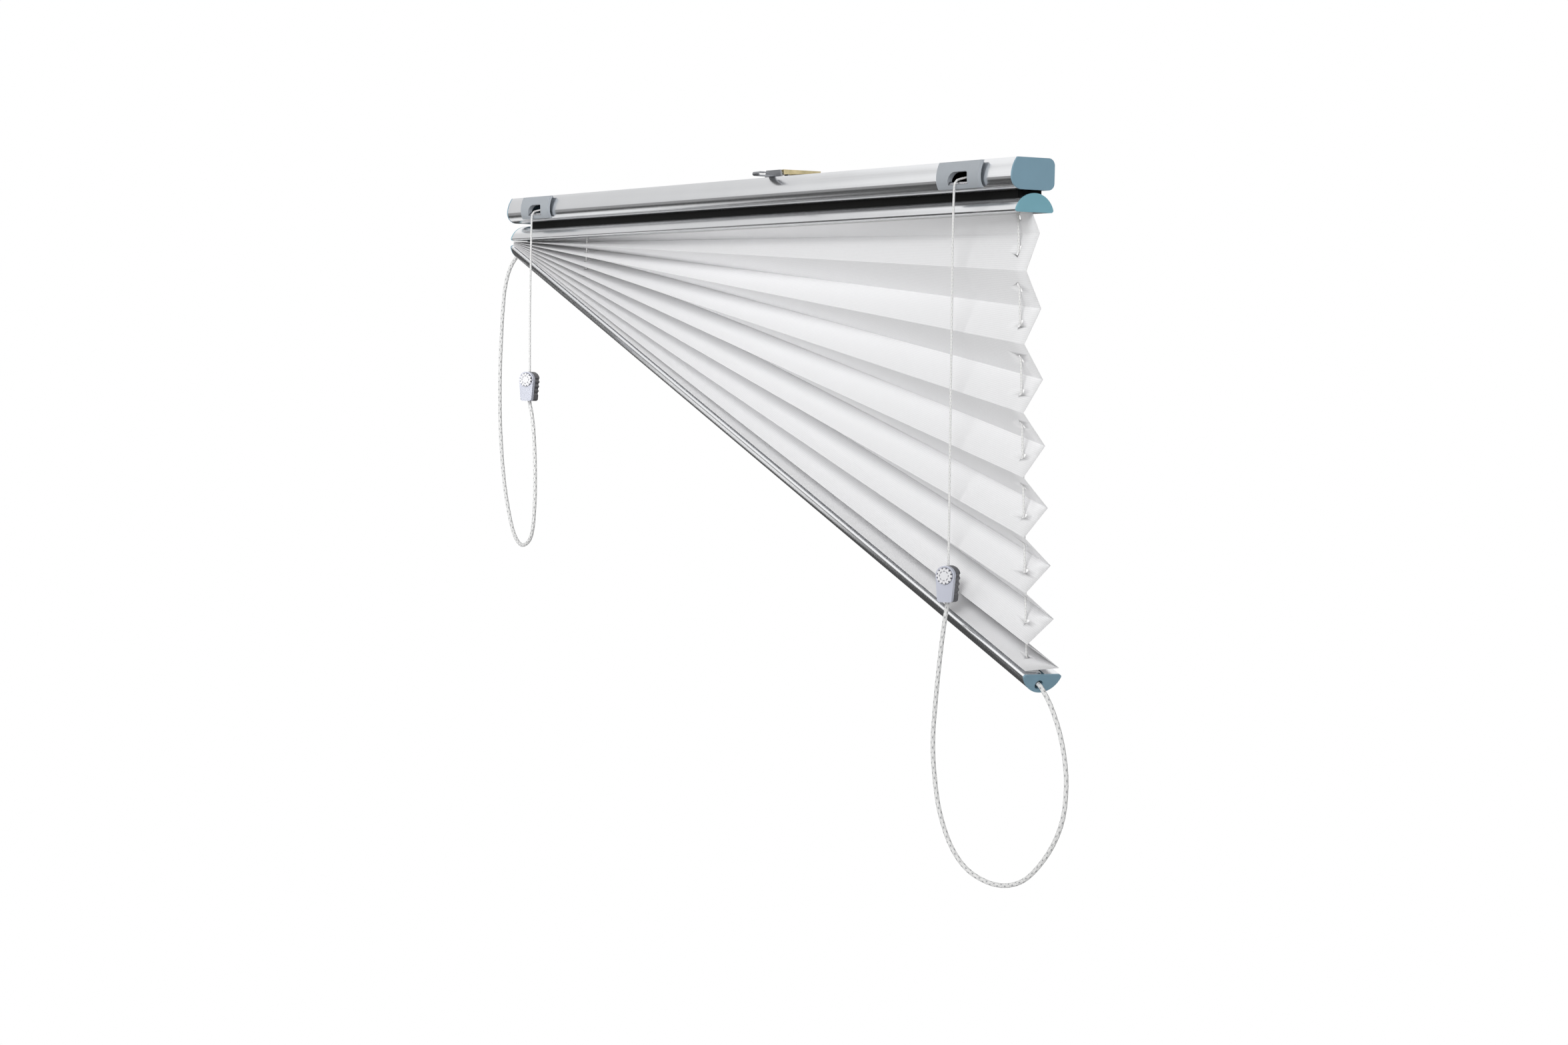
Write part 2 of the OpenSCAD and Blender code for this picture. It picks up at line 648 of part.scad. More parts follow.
// Push button of a connector
split_y = -2;
button_z = conn_h / 2 - conn_w / 2 - 0.1;
recess = 1.4;
stem_d = 3;
flange_d = 3.6;
flange_t = 0.7;
pocket_d = 4.2;
rear_floor = 1.2;
front_y = split_y - conn_front;
back_y = split_y + conn_rear;
disc_y = front_y + recess - button_travel - play;
flange_y = split_y + play;

module conn_front_shell(side) {
    color(shell_grey) conn_frame(side) difference() {
        translate([0, split_y, 0]) rotate([90, 0, 0]) linear_extrude(conn_front) conn_outline();
        translate([0, front_y + recess, button_z]) rotate([90, 0, 0])
            cylinder(d = button_d + 4 * play, h = recess + 1);
        translate([0, split_y + 1, button_z]) rotate([90, 0, 0])
            cylinder(d = stem_d + 2 * fit, h = conn_front + 2);
    }
}

module conn_rear_shell(side) {
    grow = 0.3;
    scallop_r = 1.3;
    scallop_depth = 0.6;
    pitch = 2.9;
    first = conn_h / 2 - conn_w / 2;
    slope = (conn_w - conn_foot_w) / 2 / (conn_h - conn_w / 2);
    color(rib_grey) conn_frame(side) difference() {
        translate([0, back_y, 0]) rotate([90, 0, 0]) linear_extrude(conn_rear) conn_outline(grow);
        for (i = [0:3], e = [-1, 1])
            translate([e * (conn_w / 2 - slope * i * pitch + grow + scallop_r - scallop_depth), 0,
                       first - i * pitch])
                rotate([90, 0, 0]) cylinder(r = scallop_r, h = 2 * conn_h, center = true);
        translate([0, back_y - rear_floor, button_z]) rotate([90, 0, 0])
            cylinder(d = pocket_d, h = conn_rear);
        translate([0, 0, conn_h / 2 - socket_thin])
            cylinder(d = thin_d + 2 * play, h = socket_thin + 1);
        translate([0, 0, -conn_h / 2 - 1]) cylinder(d = loop_d + 2 * play, h = socket_loop + 1);
    }
}

module conn_button(side) {
    notches = 12;
    notch_d = 1;
    slots = 8;
    slot_r = 2.1;
    slot_depth = 1;
    cap_th = 1.6;
    color("white") conn_frame(side) translate([0, 0, button_z]) rotate([90, 0, 0]) difference() {
        union() {
            translate([0, 0, -disc_y]) cylinder(d = button_d, h = cap_th);
            translate([0, 0, -flange_y - flange_t])
                cylinder(d = stem_d, h = flange_y + flange_t - disc_y + eps);
            translate([0, 0, -flange_y - flange_t]) cylinder(d = flange_d, h = flange_t);
        }
        for (i = [0:notches - 1]) rotate((i + 0.5) * 360 / notches)
            translate([button_d / 2 - 0.3, 0, -disc_y - 1]) cylinder(d = notch_d, h = cap_th + 2);
        for (i = [0:slots - 1]) rotate(i * 360 / slots)
            translate([slot_r, -0.6, -disc_y + cap_th - slot_depth]) cube([0.6, 1.2, slot_depth + 1]);
    }
}

// Coil between the button's flange and the rear shell's floor
module conn_spring(side) {
    turns = 4;
    steps = 12;
    wire = 0.4;
    coil_r = 1.55;
    y0 = flange_y + flange_t + wire / 2 + fit;
    y1 = back_y - rear_floor - wire / 2 - fit;
    route = [for (i = [0:turns * steps]) let (a = 360 * i / steps, s = i / (turns * steps))
        [coil_r * cos(a), mixed(y0, y1, s), button_z + coil_r * sin(a)]];
    color(steel) conn_frame(side) tube(route, wire, sides = 6);
}

// Ceiling clip: yellow plate with side flanges and a rear hook under the rail's lip
plate_front = -8;
plate_back = 15.5;
hook_w = 12;
clip_foot_t = 1;
foot_z = head_top - lip_t - fit - clip_foot_t;
module clip_plate() {
    flange_front = 2.8;
    flange_back = 1.35;
    flange_wall = 1;
    leg_y = lip_back - 0.2 - clip_t;
    color(zinc_yellow) difference() {
        union() {
            translate([-clip_w / 2, plate_front, -clip_t]) cube([clip_w, plate_back - plate_front, clip_t]);
            for (x = [-clip_w / 2, clip_w / 2 - flange_wall]) along_x(x, flange_wall)
                polygon([[plate_front, 0], [plate_back, 0],
                         [plate_back, -flange_back], [plate_front, -flange_front]]);
            translate([-hook_w / 2, leg_y, foot_z]) cube([hook_w, clip_t, -foot_z - eps]);
            translate([-hook_w / 2, leg_y, foot_z])
                cube([hook_w, lip_back + channel_undercut - soft_gap - leg_y, clip_foot_t]);
        }
        translate([0, 0, -clip_t - 1]) cylinder(d = screw_d, h = clip_t + 2);
        for (x = [-rivet_x, rivet_x]) translate([x, rivet_y, -clip_t - 1])
            cylinder(d = rivet_d + 0.04, h = clip_t + 2);
    }
}

// Steel spring: riveted leaf, front apron, hairpin release tab and two feet under the rail's front lip
rivet_x = 5.5;
rivet_y = -6.4;
rivet_d = 2;
leaf_t = 1;
apron_t = 1;
apron_y = plate_front - 0.8;
module clip_spring() {
    leaf_x = clip_w / 2 - 1 - play;
    leg_x = 4.4;
    leg_w = leaf_x - leg_x;
    leg_y = lip_front + 0.2;
    leaf_z = -clip_t - leaf_t;
    apron_top = clip_w / 2 - 1.5;
    apron_low = head_top + 0.15;
    tab_w = 7;
    tab_t = 0.6;
    tab_r = 1.2;
    tab_y = -19.8;
    tab_mid = apron_low + 0.1 + tab_r;
    color(steel) difference() {
        union() {
            translate([-leaf_x, apron_y - eps, leaf_z])
                cube([2 * leaf_x, leg_y + apron_t - apron_y + eps, leaf_t]);
            translate([0, apron_y, 0]) rotate([90, 0, 0]) linear_extrude(apron_t)
                polygon([[-clip_w / 2, apron_low], [clip_w / 2, apron_low],
                         [apron_top, -0.1], [-apron_top, -0.1]]);
            for (x = [-leaf_x, leg_x]) {
                translate([x, leg_y, foot_z]) cube([leg_w, apron_t, leaf_z - foot_z + eps]);
                translate([x, lip_front - channel_undercut + soft_gap, foot_z])
                    cube([leg_w, leg_y + apron_t - lip_front + channel_undercut - soft_gap, clip_foot_t]);
            }
            along_x(-tab_w / 2, tab_w) {
                translate([tab_y, tab_mid - tab_r]) square([apron_y - tab_y - apron_t + eps, tab_t]);
                translate([tab_y, tab_mid + tab_r - tab_t]) square([5.5, tab_t]);
                intersection() {
                    difference() {
                        translate([tab_y, tab_mid]) circle(tab_r);
                        translate([tab_y, tab_mid]) circle(tab_r - tab_t);
                    }
                    translate([tab_y - tab_r, tab_mid - tab_r]) square([tab_r + eps, 2 * tab_r]);
                }
            }
        }
        for (x = [-rivet_x, rivet_x]) translate([x, rivet_y, leaf_z - 1])
            cylinder(d = rivet_d + 0.04, h = leaf_t + 2);
    }
}

module clip_rivets() {
    rivet_head = 3;
    head_t = 0.6;
    color(steel) for (x = [-rivet_x, rivet_x]) translate([x, rivet_y, -clip_t - leaf_t]) {
        translate([0, 0, -eps]) cylinder(d = rivet_d, h = clip_t + leaf_t - play + eps);
        translate([0, 0, -head_t]) cylinder(d = rivet_head, h = head_t);
    }
}

head_rail();
head_cap(-1);  // head_cap_left
head_cap(1);  // head_cap_right
cord_outlet(-1);  // cord_outlet_left
cord_outlet(1);  // cord_outlet_right
outlet_pin(-1);  // outlet_pin_left
outlet_pin(1);  // outlet_pin_right
outlet_roller(-1);  // outlet_roller_left
outlet_roller(1);  // outlet_roller_right
drop_guide(-1);  // drop_guide_left
drop_guide(1);  // drop_guide_right
rail_carrier();
rail_hanger(-1);  // rail_hanger_left
rail_hanger(1);  // rail_hanger_right
upper_rail();
upper_cap(-1);  // upper_cap_left
upper_cap(1);  // upper_cap_right
upper_strip();
pleated_fabric();
lower_rail();
lower_cap(-1);  // lower_cap_left
lower_cap(1);  // lower_cap_right
lower_strip();
loop_anchor(-1);  // loop_anchor_left
loop_anchor(1);  // loop_anchor_right
lift_anchor(-1);  // lift_anchor_left
lift_anchor(1);  // lift_anchor_right
lift_cord(-1);  // lift_cord_left
lift_cord(1);  // lift_cord_right
pull_cord(-1);  // pull_cord_left
pull_cord(1);  // pull_cord_right
loop_cord(-1);  // loop_cord_left
loop_cord(1);  // loop_cord_right
conn_front_shell(-1);  // connector_front_left
conn_front_shell(1);  // connector_front_right
conn_rear_shell(-1);  // connector_rear_left
conn_rear_shell(1);  // connector_rear_right
conn_button(-1);  // connector_button_left
conn_button(1);  // connector_button_right
conn_spring(-1);  // connector_spring_left
conn_spring(1);  // connector_spring_right
clip_plate();
clip_spring();
clip_rivets();
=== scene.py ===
# Pleated blind hung as a fan: camera, cords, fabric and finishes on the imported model
import math

import bpy
import bmesh
from mathutils import Vector, Matrix


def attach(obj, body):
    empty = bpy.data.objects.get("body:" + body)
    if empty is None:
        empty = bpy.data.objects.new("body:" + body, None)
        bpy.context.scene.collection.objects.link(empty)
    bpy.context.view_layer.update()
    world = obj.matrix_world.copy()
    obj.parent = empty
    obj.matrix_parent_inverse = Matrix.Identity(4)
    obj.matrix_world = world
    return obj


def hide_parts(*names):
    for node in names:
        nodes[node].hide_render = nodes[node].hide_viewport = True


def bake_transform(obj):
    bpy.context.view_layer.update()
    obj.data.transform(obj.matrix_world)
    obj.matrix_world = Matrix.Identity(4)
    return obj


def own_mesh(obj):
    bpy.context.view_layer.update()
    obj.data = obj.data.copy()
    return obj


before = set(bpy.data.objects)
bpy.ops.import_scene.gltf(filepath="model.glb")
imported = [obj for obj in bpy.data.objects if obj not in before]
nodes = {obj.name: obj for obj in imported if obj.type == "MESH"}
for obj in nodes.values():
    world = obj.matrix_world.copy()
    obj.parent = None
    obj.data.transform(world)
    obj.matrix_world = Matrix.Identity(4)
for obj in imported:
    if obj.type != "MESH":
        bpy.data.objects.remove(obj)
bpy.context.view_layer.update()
scene = bpy.context.scene
mm = 0.001
print("frame loaded:", len(nodes), "nodes")


# camera at the photograph's place, 36 mm sensor over a 2352 x 1568 image
cameraSet = dict(place=(1.6834, -0.9329, -0.1162), azimuth=60.946, elevation=2.414, roll=1.301, lens=78.58)


def makeCamera(s):
    az, el, roll = (math.radians(s[k]) for k in ("azimuth", "elevation", "roll"))
    back = Vector((math.sin(az) * math.cos(el), -math.cos(az) * math.cos(el), math.sin(el)))
    right = Vector((math.cos(az), math.sin(az), 0))
    up = back.cross(right)
    across = right * math.cos(roll) + up * math.sin(roll)
    above = up * math.cos(roll) - right * math.sin(roll)
    data = bpy.data.cameras.new("camera")
    data.sensor_width, data.lens, data.sensor_fit = 36, s["lens"], "HORIZONTAL"
    data.clip_start, data.clip_end = 0.05, 50
    cam = bpy.data.objects.new("camera", data)
    turn = Matrix((across, above, back)).transposed().to_4x4()
    cam.matrix_world = Matrix.Translation(s["place"]) @ turn
    scene.collection.objects.link(cam)
    scene.camera = cam


makeCamera(cameraSet)
print("camera set")


# colours are written as 0-255 display values
def tone(r, g, b):
    def lin(c):
        c /= 255
        return c / 12.92 if c <= 0.04045 else ((c + 0.055) / 1.055) ** 2.4
    return (lin(r), lin(g), lin(b), 1)


class Finish:
    # one node material with its Principled shader and a few short ways to add nodes
    def __init__(self, name, colour, roughness, metallic=0.0, **sockets):
        self.mat = bpy.data.materials.new(name)
        self.mat.use_nodes = True
        self.tree = self.mat.node_tree
        self.shader = self.tree.nodes["Principled BSDF"]
        self.shader.inputs["Base Color"].default_value = colour
        self.shader.inputs["Roughness"].default_value = roughness
        self.shader.inputs["Metallic"].default_value = metallic
        for key, value in sockets.items():
            self.shader.inputs[key.replace("_", " ")].default_value = value
        self.mat.diffuse_color = colour

    def node(self, kind, **values):
        n = self.tree.nodes.new("ShaderNode" + kind)
        for key, value in values.items():
            if hasattr(n, key):
                setattr(n, key, value)
            else:
                n.inputs[key.replace("_", " ")].default_value = value
        return n

    def link(self, a, b):
        self.tree.links.new(a, b)

    def coords(self, stretch=(1, 1, 1), uv=False):
        c = self.node("TexCoord")
        m = self.node("Mapping")
        m.inputs["Scale"].default_value = stretch
        self.link(c.outputs["UV" if uv else "Object"], m.inputs["Vector"])
        return m.outputs["Vector"]

    def noise(self, vector, scale, detail=3.0, rough=0.5):
        n = self.node("TexNoise", Scale=scale, Detail=detail, Roughness=rough)
        self.link(vector, n.inputs["Vector"])
        return n.outputs["Fac"]

    def ramp(self, value, low, high, a=0.0, b=1.0):
        r = self.node("MapRange")
        for key, v in zip(("From Min", "From Max", "To Min", "To Max"), (a, b, low, high)):
            r.inputs[key].default_value = v
        self.link(value, r.inputs["Value"])
        return r.outputs["Result"]

    def tint(self, value, dark, light):
        m = self.node("Mix", data_type="RGBA")  # its sockets 6 and 7 are the two colours
        m.inputs[6].default_value, m.inputs[7].default_value = dark, light
        self.link(value, m.inputs[0])
        self.link(m.outputs[2], self.shader.inputs["Base Color"])

    def bump(self, height, strength, distance):
        b = self.node("Bump", Strength=strength, Distance=distance)
        self.link(height, b.inputs["Height"])
        self.link(b.outputs["Normal"], self.shader.inputs["Normal"])


def shade(colour, k):
    return tuple(c * k for c in colour[:3]) + (1,)


def anodised(name):
    # extruded aluminium: fine die lines along the rail over a satin anodised skin
    f = Finish(name, tone(236, 237, 239), 0.3, 1.0)
    lines = f.noise(f.coords((6, 2600, 2600)), 1.0, 2.0)
    cloud = f.noise(f.coords(), 28, 3.0)
    f.link(f.ramp(lines, 0.17, 0.26, 0.3, 0.7), f.shader.inputs["Roughness"])
    f.tint(cloud, tone(231, 232, 234), tone(242, 243, 245))
    f.bump(lines, 0.05, 0.00004)
    return f.mat


def moulded(name, colour, roughness=0.5, grain=2600.0, depth=0.25, gloss=0.5):
    # moulded plastic with a fine spark-eroded grain and slight clouding
    f = Finish(name, colour, roughness, 0.0, Specular_IOR_Level=gloss)
    at = f.coords()
    fine = f.noise(at, grain, 2.0)
    cloud = f.noise(at, 90, 3.0)
    f.link(f.ramp(fine, roughness - 0.07, roughness + 0.07, 0.3, 0.7), f.shader.inputs["Roughness"])
    f.tint(cloud, shade(colour, 0.93), shade(colour, 1.06))
    f.bump(fine, depth, 0.00003)
    return f.mat


def rolledSteel(name, colour, roughness=0.3, stretch=(900, 60, 900)):
    f = Finish(name, colour, roughness, 1.0)
    lines = f.noise(f.coords(stretch), 1.0, 3.0)
    f.link(f.ramp(lines, roughness - 0.08, roughness + 0.1, 0.3, 0.7), f.shader.inputs["Roughness"])
    f.tint(lines, shade(colour, 0.86), shade(colour, 1.08))
    f.bump(lines, 0.1, 0.00003)
    return f.mat


def zincYellow(name):
    # yellow passivated zinc: warm patches with a slight green and pink drift
    f = Finish(name, tone(205, 192, 152), 0.36, 0.85)
    patch = f.noise(f.coords(), 160, 4.0, 0.6)
    f.tint(f.ramp(patch, 0, 1, 0.35, 0.65), tone(190, 178, 138), tone(222, 206, 164))
    fine = f.noise(f.coords(), 1500, 2.0)
    f.link(f.ramp(fine, 0.3, 0.46, 0.3, 0.7), f.shader.inputs["Roughness"])
    f.bump(fine, 0.12, 0.00003)
    return f.mat


def wovenCloth(name):
    # fine plain weave on the sheet's own UV, in metres of cloth; its colour drifts with the yarn's slub and
    # is darker between the threads, which is painted shade
    f = Finish(name, tone(248, 248, 249), 0.86, 0.0, Sheen_Weight=0.1, Sheen_Roughness=0.5)
    pitch = 0.0011
    scale = math.pi / 10 / pitch
    uv = f.coords(uv=True)
    both = f.node("Math", operation="MULTIPLY")
    for i, direction in enumerate("XY"):  # warp, then weft
        w = f.node("TexWave", wave_type="BANDS", bands_direction=direction, Scale=scale, Distortion=0.6)
        w.inputs["Detail Scale"].default_value = 3
        f.link(uv, w.inputs["Vector"])
        f.link(w.outputs["Fac"], both.inputs[i])
    slub = f.noise(f.coords((260, 2600, 1), uv=True), 1.0, 2.0)
    mixed = f.node("Math", operation="MULTIPLY_ADD")
    mixed.inputs[1].default_value = 0.6
    f.link(slub, mixed.inputs[0])
    f.link(both.outputs["Value"], mixed.inputs[2])
    # uneven yarn tone from the slub, and painted shade where the weave dips between the threads
    f.tint(f.ramp(mixed.outputs["Value"], 0, 1, 0.2, 1.2), tone(238, 238, 239), tone(253, 253, 254))
    f.bump(mixed.outputs["Value"], 0.35, 0.00008)
    return f.mat


def braid(name, pitch, sides, flecked=False):
    # braided polyester: two sets of bands that cross on the cord's own UV, with grey flecks on the thick cord
    # and painted shade in the grooves of the thin cord
    f = Finish(name, tone(244, 244, 243), 0.78, 0.0, Sheen_Weight=0.2, Sheen_Roughness=0.4)
    bands = []
    for turn in (1, -1):
        uv = f.node("TexCoord").outputs["UV"]
        m = f.node("Mapping")
        m.inputs["Scale"].default_value = (sides * 0.1 * math.pi, turn / pitch * 0.1 * math.pi, 1)
        f.link(uv, m.inputs["Vector"])
        w = f.node("TexWave", wave_type="BANDS", bands_direction="DIAGONAL", Scale=1.0)
        f.link(m.outputs["Vector"], w.inputs["Vector"])
        bands.append(w.outputs["Fac"])

    def cross(operation):
        n = f.node("Math", operation=operation)
        for i in range(2):
            f.link(bands[i], n.inputs[i])
        return n.outputs["Value"]

    top = cross("MAXIMUM")
    if flecked:
        f.tint(f.ramp(cross("MINIMUM"), 1, 0, 0.55, 0.95), tone(150, 152, 156), tone(246, 246, 245))
    else:
        # painted shade: the thin cord is darker where its strands dip
        f.tint(f.ramp(top, 0, 1, 0.1, 0.6), tone(214, 214, 214), tone(246, 246, 245))
    f.bump(top, 0.5, pitch * 0.25)
    return f.mat


finishes = dict(
    aluminium=anodised("anodised rail"),
    capBlue=moulded("blue grey cap", tone(133, 168, 186), 0.5),
    capCyan=moulded("cyan grey cap", tone(130, 184, 199), 0.5),
    outletGrey=moulded("outlet grey", tone(172, 178, 184), 0.42),
    black=moulded("black strip", tone(10, 10, 10), 0.7, gloss=0.12),
    nylon=moulded("natural nylon", tone(226, 226, 220), 0.5),
    steel=rolledSteel("bright steel", tone(200, 200, 203)),
    spring=rolledSteel("spring steel", tone(150, 152, 156), 0.36),
    zinc=zincYellow("yellow zinc"),
    shell=moulded("pale shell", tone(203, 206, 219), 0.34, 1800, 0.12),
    rib=moulded("dark rib shell", tone(96, 96, 100), 0.5),
    button=moulded("white button", tone(240, 240, 243), 0.36, 1800, 0.1),
    cloth=wovenCloth("pleated cloth"),
    thinCord=braid("thin cord", 0.0016, 8),
    loopCord=braid("loop cord", 0.0026, 8, flecked=True),
)
print("finishes:", len(finishes))


# smooth line through route points, resampled in even steps
def smoothLine(points, step):
    pts = [Vector(p) * mm for p in points]
    ends = [pts[0] * 2 - pts[1]] + pts + [pts[-1] * 2 - pts[-2]]
    perSpan = 24
    fine = []
    for i in range(1, len(ends) - 2):
        a, b, c, d = ends[i - 1:i + 3]
        for k in range(perSpan):
            t = k / perSpan
            fine.append(0.5 * (2 * b + (c - a) * t + (2 * a - 5 * b + 4 * c - d) * t * t
                               + (3 * b - a - 3 * c + d) * t ** 3))
    fine.append(pts[-1])
    total = sum((q - p).length for p, q in zip(fine, fine[1:]))
    count = max(2, round(total / step))
    line, run, goal = [fine[0]], 0.0, total / count
    for p, q in zip(fine, fine[1:]):
        d = (q - p).length
        while d > 0 and run + d >= goal - 1e-12 and len(line) < count:
            line.append(p.lerp(q, (goal - run) / d))
            goal += total / count
        run += d
    line.append(pts[-1])
    return line


def lineLength(line):
    return sum((q - p).length for p, q in zip(line, line[1:]))


def addPiece(name, bm, finish, sharp=None):
    mesh = bpy.data.meshes.new(name)
    bm.to_mesh(mesh)
    bm.free()
    mesh.materials.append(finish)
    mesh.shade_smooth()
    if sharp:
        mesh.set_sharp_from_angle(angle=math.radians(sharp))
    obj = bpy.data.objects.new(name, mesh)
    scene.collection.objects.link(obj)
    return obj


# round cord drawn along a line by extruding one circle ring by ring; UV is turns round and metres along
def sweepCord(name, line, radius, sides, finish):
    bm = bmesh.new()
    uv = bm.loops.layers.uv.new("UVMap")
    ring = bmesh.ops.create_circle(bm, radius=radius, segments=sides, cap_ends=False)["verts"]
    heads = [(line[min(i + 1, len(line) - 1)] - line[max(i - 1, 0)]).normalized() for i in range(len(line))]
    side = heads[0].orthogonal().normalized()
    order = {v: j for j, v in enumerate(ring)}
    place = {}  # each vertex's number round the ring and its ring along the line
    for i, (p, t) in enumerate(zip(line, heads)):
        side = (side - t * side.dot(t)).normalized()
        other = t.cross(side)
        if i:
            edges = [e for e in {e for v in ring for e in v.link_edges}
                     if e.verts[0] in ring and e.verts[1] in ring]
            grown = bmesh.ops.extrude_edge_only(bm, edges=edges)["geom"]
            ring = [g for g in grown if isinstance(g, bmesh.types.BMVert)]
            near = {v: [e.other_vert(v) for e in v.link_edges] for v in ring}
            order = {v: place[o][0] for v in ring for o in near[v] if o in place}
        for v in ring:
            a = math.tau * order[v] / sides
            v.co = p + (side * math.cos(a) + other * math.sin(a)) * radius
            place[v] = (order[v], i)
    bmesh.ops.holes_fill(bm, edges=[e for e in bm.edges if e.is_boundary], sides=0)
    bmesh.ops.recalc_face_normals(bm, faces=bm.faces)
    step = lineLength(line) / (len(line) - 1)
    for f in bm.faces:
        js = [place[l.vert][0] for l in f.loops]
        wrap = max(js) - min(js) > sides / 2
        for l in f.loops:
            j, i = place[l.vert]
            l[uv].uv = ((j + (sides if wrap and j < sides / 2 else 0)) / sides, i * step)
    return addPiece(name, bm, finish, sharp=60)


# cord routes in millimetres, the same points as the solids have
routes = dict(
    pullLeft=[(-304, -13.8, -13.4), (-304, -16, -14.3), (-304, -17, -16.3), (-304, -17.3, -22),
              (-303.88, -17.4, -46), (-303.4, -17.5, -76), (-301.6, -17.5, -118.35)],
    pullRight=[(204.5, -13.8, -13.4), (204.5, -16, -14.3), (204.5, -17, -16.3), (204.5, -17.3, -22),
               (204.7, -17.4, -46), (205.5, -17.5, -76), (208.5, -17.5, -211.85)],
    loopLeft=[(-344.46, -1.2, -41.43), (-351.88, -1.2, -38.73), (-355.28, -1.2, -37.83),
              (-358.58, -1.2, -39.23), (-361.78, -1.3, -41.82), (-366.48, -1.6, -45.22),
              (-370.29, -2.3, -50.42), (-371.59, -3.6, -57.52), (-370.79, -5.5, -69.02),
              (-367.79, -8, -93.02), (-364.89, -9.7, -123.02), (-361.19, -10.5, -151.01),
              (-354.29, -11.2, -179.01), (-344.99, -12, -200.51), (-331.39, -13.3, -219.21),
              (-315.99, -15, -226.61), (-300.19, -17, -224.01), (-290.5, -18.7, -216.01),
              (-285.7, -19.8, -200), (-285.5, -19.9, -184), (-288.7, -19.3, -163), (-295, -18.2, -145.5),
              (-301.6, -17.5, -134.25), (-301.6, -17.5, -129.25)],
    loopRight=[(263.15, -1.2, -262.58), (270.57, -1.2, -265.28), (273.77, -0.8, -268.28),
               (277.57, -0.4, -272.38), (281.98, 0, -278.58), (286.78, 0.5, -287.49), (290.58, 0.9, -298.49),
               (292.78, 1, -310.99), (291.78, 0.8, -325.99), (287.18, 0, -338.49), (278.98, -1.6, -350.49),
               (266.99, -3.8, -361.49), (254.99, -6.6, -366.49), (240.99, -9.8, -366.79),
               (226.59, -13.5, -361.79), (214.99, -16, -351.49), (206.59, -17.8, -335.69),
               (201.99, -18.5, -319), (200, -19, -300.5), (201, -18.7, -280), (203.6, -18.2, -256),
               (206.6, -17.7, -236.5), (208.5, -17.5, -227.75), (208.5, -17.5, -222.75)],
)
cordSet = dict(thin=1.2, loop=2.3, thinSides=10, loopSides=16, thinStep=0.002, loopStep=0.0022)


def makeCords(s):
    head = "head_assembly"
    for side in ("Left", "Right"):
        low = side.lower()
        line = smoothLine(routes["pull" + side], s["thinStep"])
        pull = sweepCord("pull_line_" + low, line, s["thin"] * mm / 2, s["thinSides"], finishes["thinCord"])
        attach(pull, head)
        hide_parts("pull_cord_" + low)
        # the loop's route is turned round, to run from the connector into the lower rail
        line = smoothLine(routes["loop" + side][::-1], s["loopStep"])
        loop = sweepCord("loop_line_" + low, line, s["loop"] * mm / 2, s["loopSides"], finishes["loopCord"])
        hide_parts("loop_cord_" + low)
        if side == "Left":
            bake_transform(loop)
        else:
            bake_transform(loop)
    print("cords made")


makeCords(cordSet)


def closeSprings():
    for low in ("left", "right"):
        spring = nodes["connector_spring_" + low]
        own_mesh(spring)
    print("springs set")


closeSprings()


# the rails that the cloth hangs between, in millimetres
railSet = dict(left=-348.0, length=600.0, lowerLength=658.0, flat=-31.1, stack=3.4, angle=20.0)


def lowerPoint(along, depth=0.0):
    # a place along the lower rail's flat face, and how deep under it
    a = math.radians(railSet["angle"])
    return (railSet["left"] + along * math.cos(a) - depth * math.sin(a), 0,
            railSet["flat"] - railSet["stack"] - along * math.sin(a) - depth * math.cos(a))


# lift cords: one stretch through the fabric and one inside the head rail, both riding on the head assembly
liftSet = dict(
    left=dict(along=95.776, x=-258, outlet=-304), right=dict(along=644, x=238, outlet=204.5),
    sunk=2.3, dome=-21.6, keep=0.012, sides=10, step=0.002, hiddenSides=8, hiddenStep=0.0015,
    railRun=[(0, 0, -16), (-0.8, -0.3, -13.2), (-3, -1, -11.4), (-6, -2, -10.8)],
    outletRun=[(10, -8, -11.6), (4.5, -10.5, -12.2), (1.3, -12, -12.8), (0, -13.8, -13.4)],
)


def makeLiftCords(s):
    flat, radius = railSet["flat"], cordSet["thin"] * mm / 2
    for side in ("left", "right"):
        c = s[side]
        line = smoothLine([lowerPoint(c["along"], s["sunk"]), (c["x"], 0, flat)], s["step"])
        run = sweepCord("lift_line_" + side, line, radius, s["sides"], finishes["thinCord"])
        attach(run, "head_assembly")
        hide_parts("lift_cord_" + side)
        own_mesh(run)
        inside = [(c["x"], 0, flat), (c["x"], 0, s["dome"])]
        inside += [(c["x"] + x, y, z) for x, y, z in s["railRun"]]
        inside += [(c["outlet"] + x, y, z) for x, y, z in s["outletRun"]]
        line = smoothLine(inside, s["hiddenStep"])
        hidden = sweepCord("lift_line_head_" + side, line, radius, s["hiddenSides"], finishes["thinCord"])
        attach(hidden, "head_assembly")
        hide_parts("lift_cord_" + side)
    print("lift cords made")


makeLiftCords(liftSet)


# pleated sheet: straight folds from the gathered stack at the left to the open right edge
clothSet = dict(folds=16, face=20.5, first=0.51, last=0.2, bias=0.265, gap=0.3, inset=1.0, wall=1.1, hem=0.8,
                bow=4.0, flare=1.6, thickness=0.18, columns=72, spread=1.35, crease=12,
                faceRows=(0.0, 0.03, 0.1, 0.3, 0.5, 0.7, 0.9, 0.97),
                holeRadius=1.3, holeSides=20, holePast=3.0, keep=0.012)


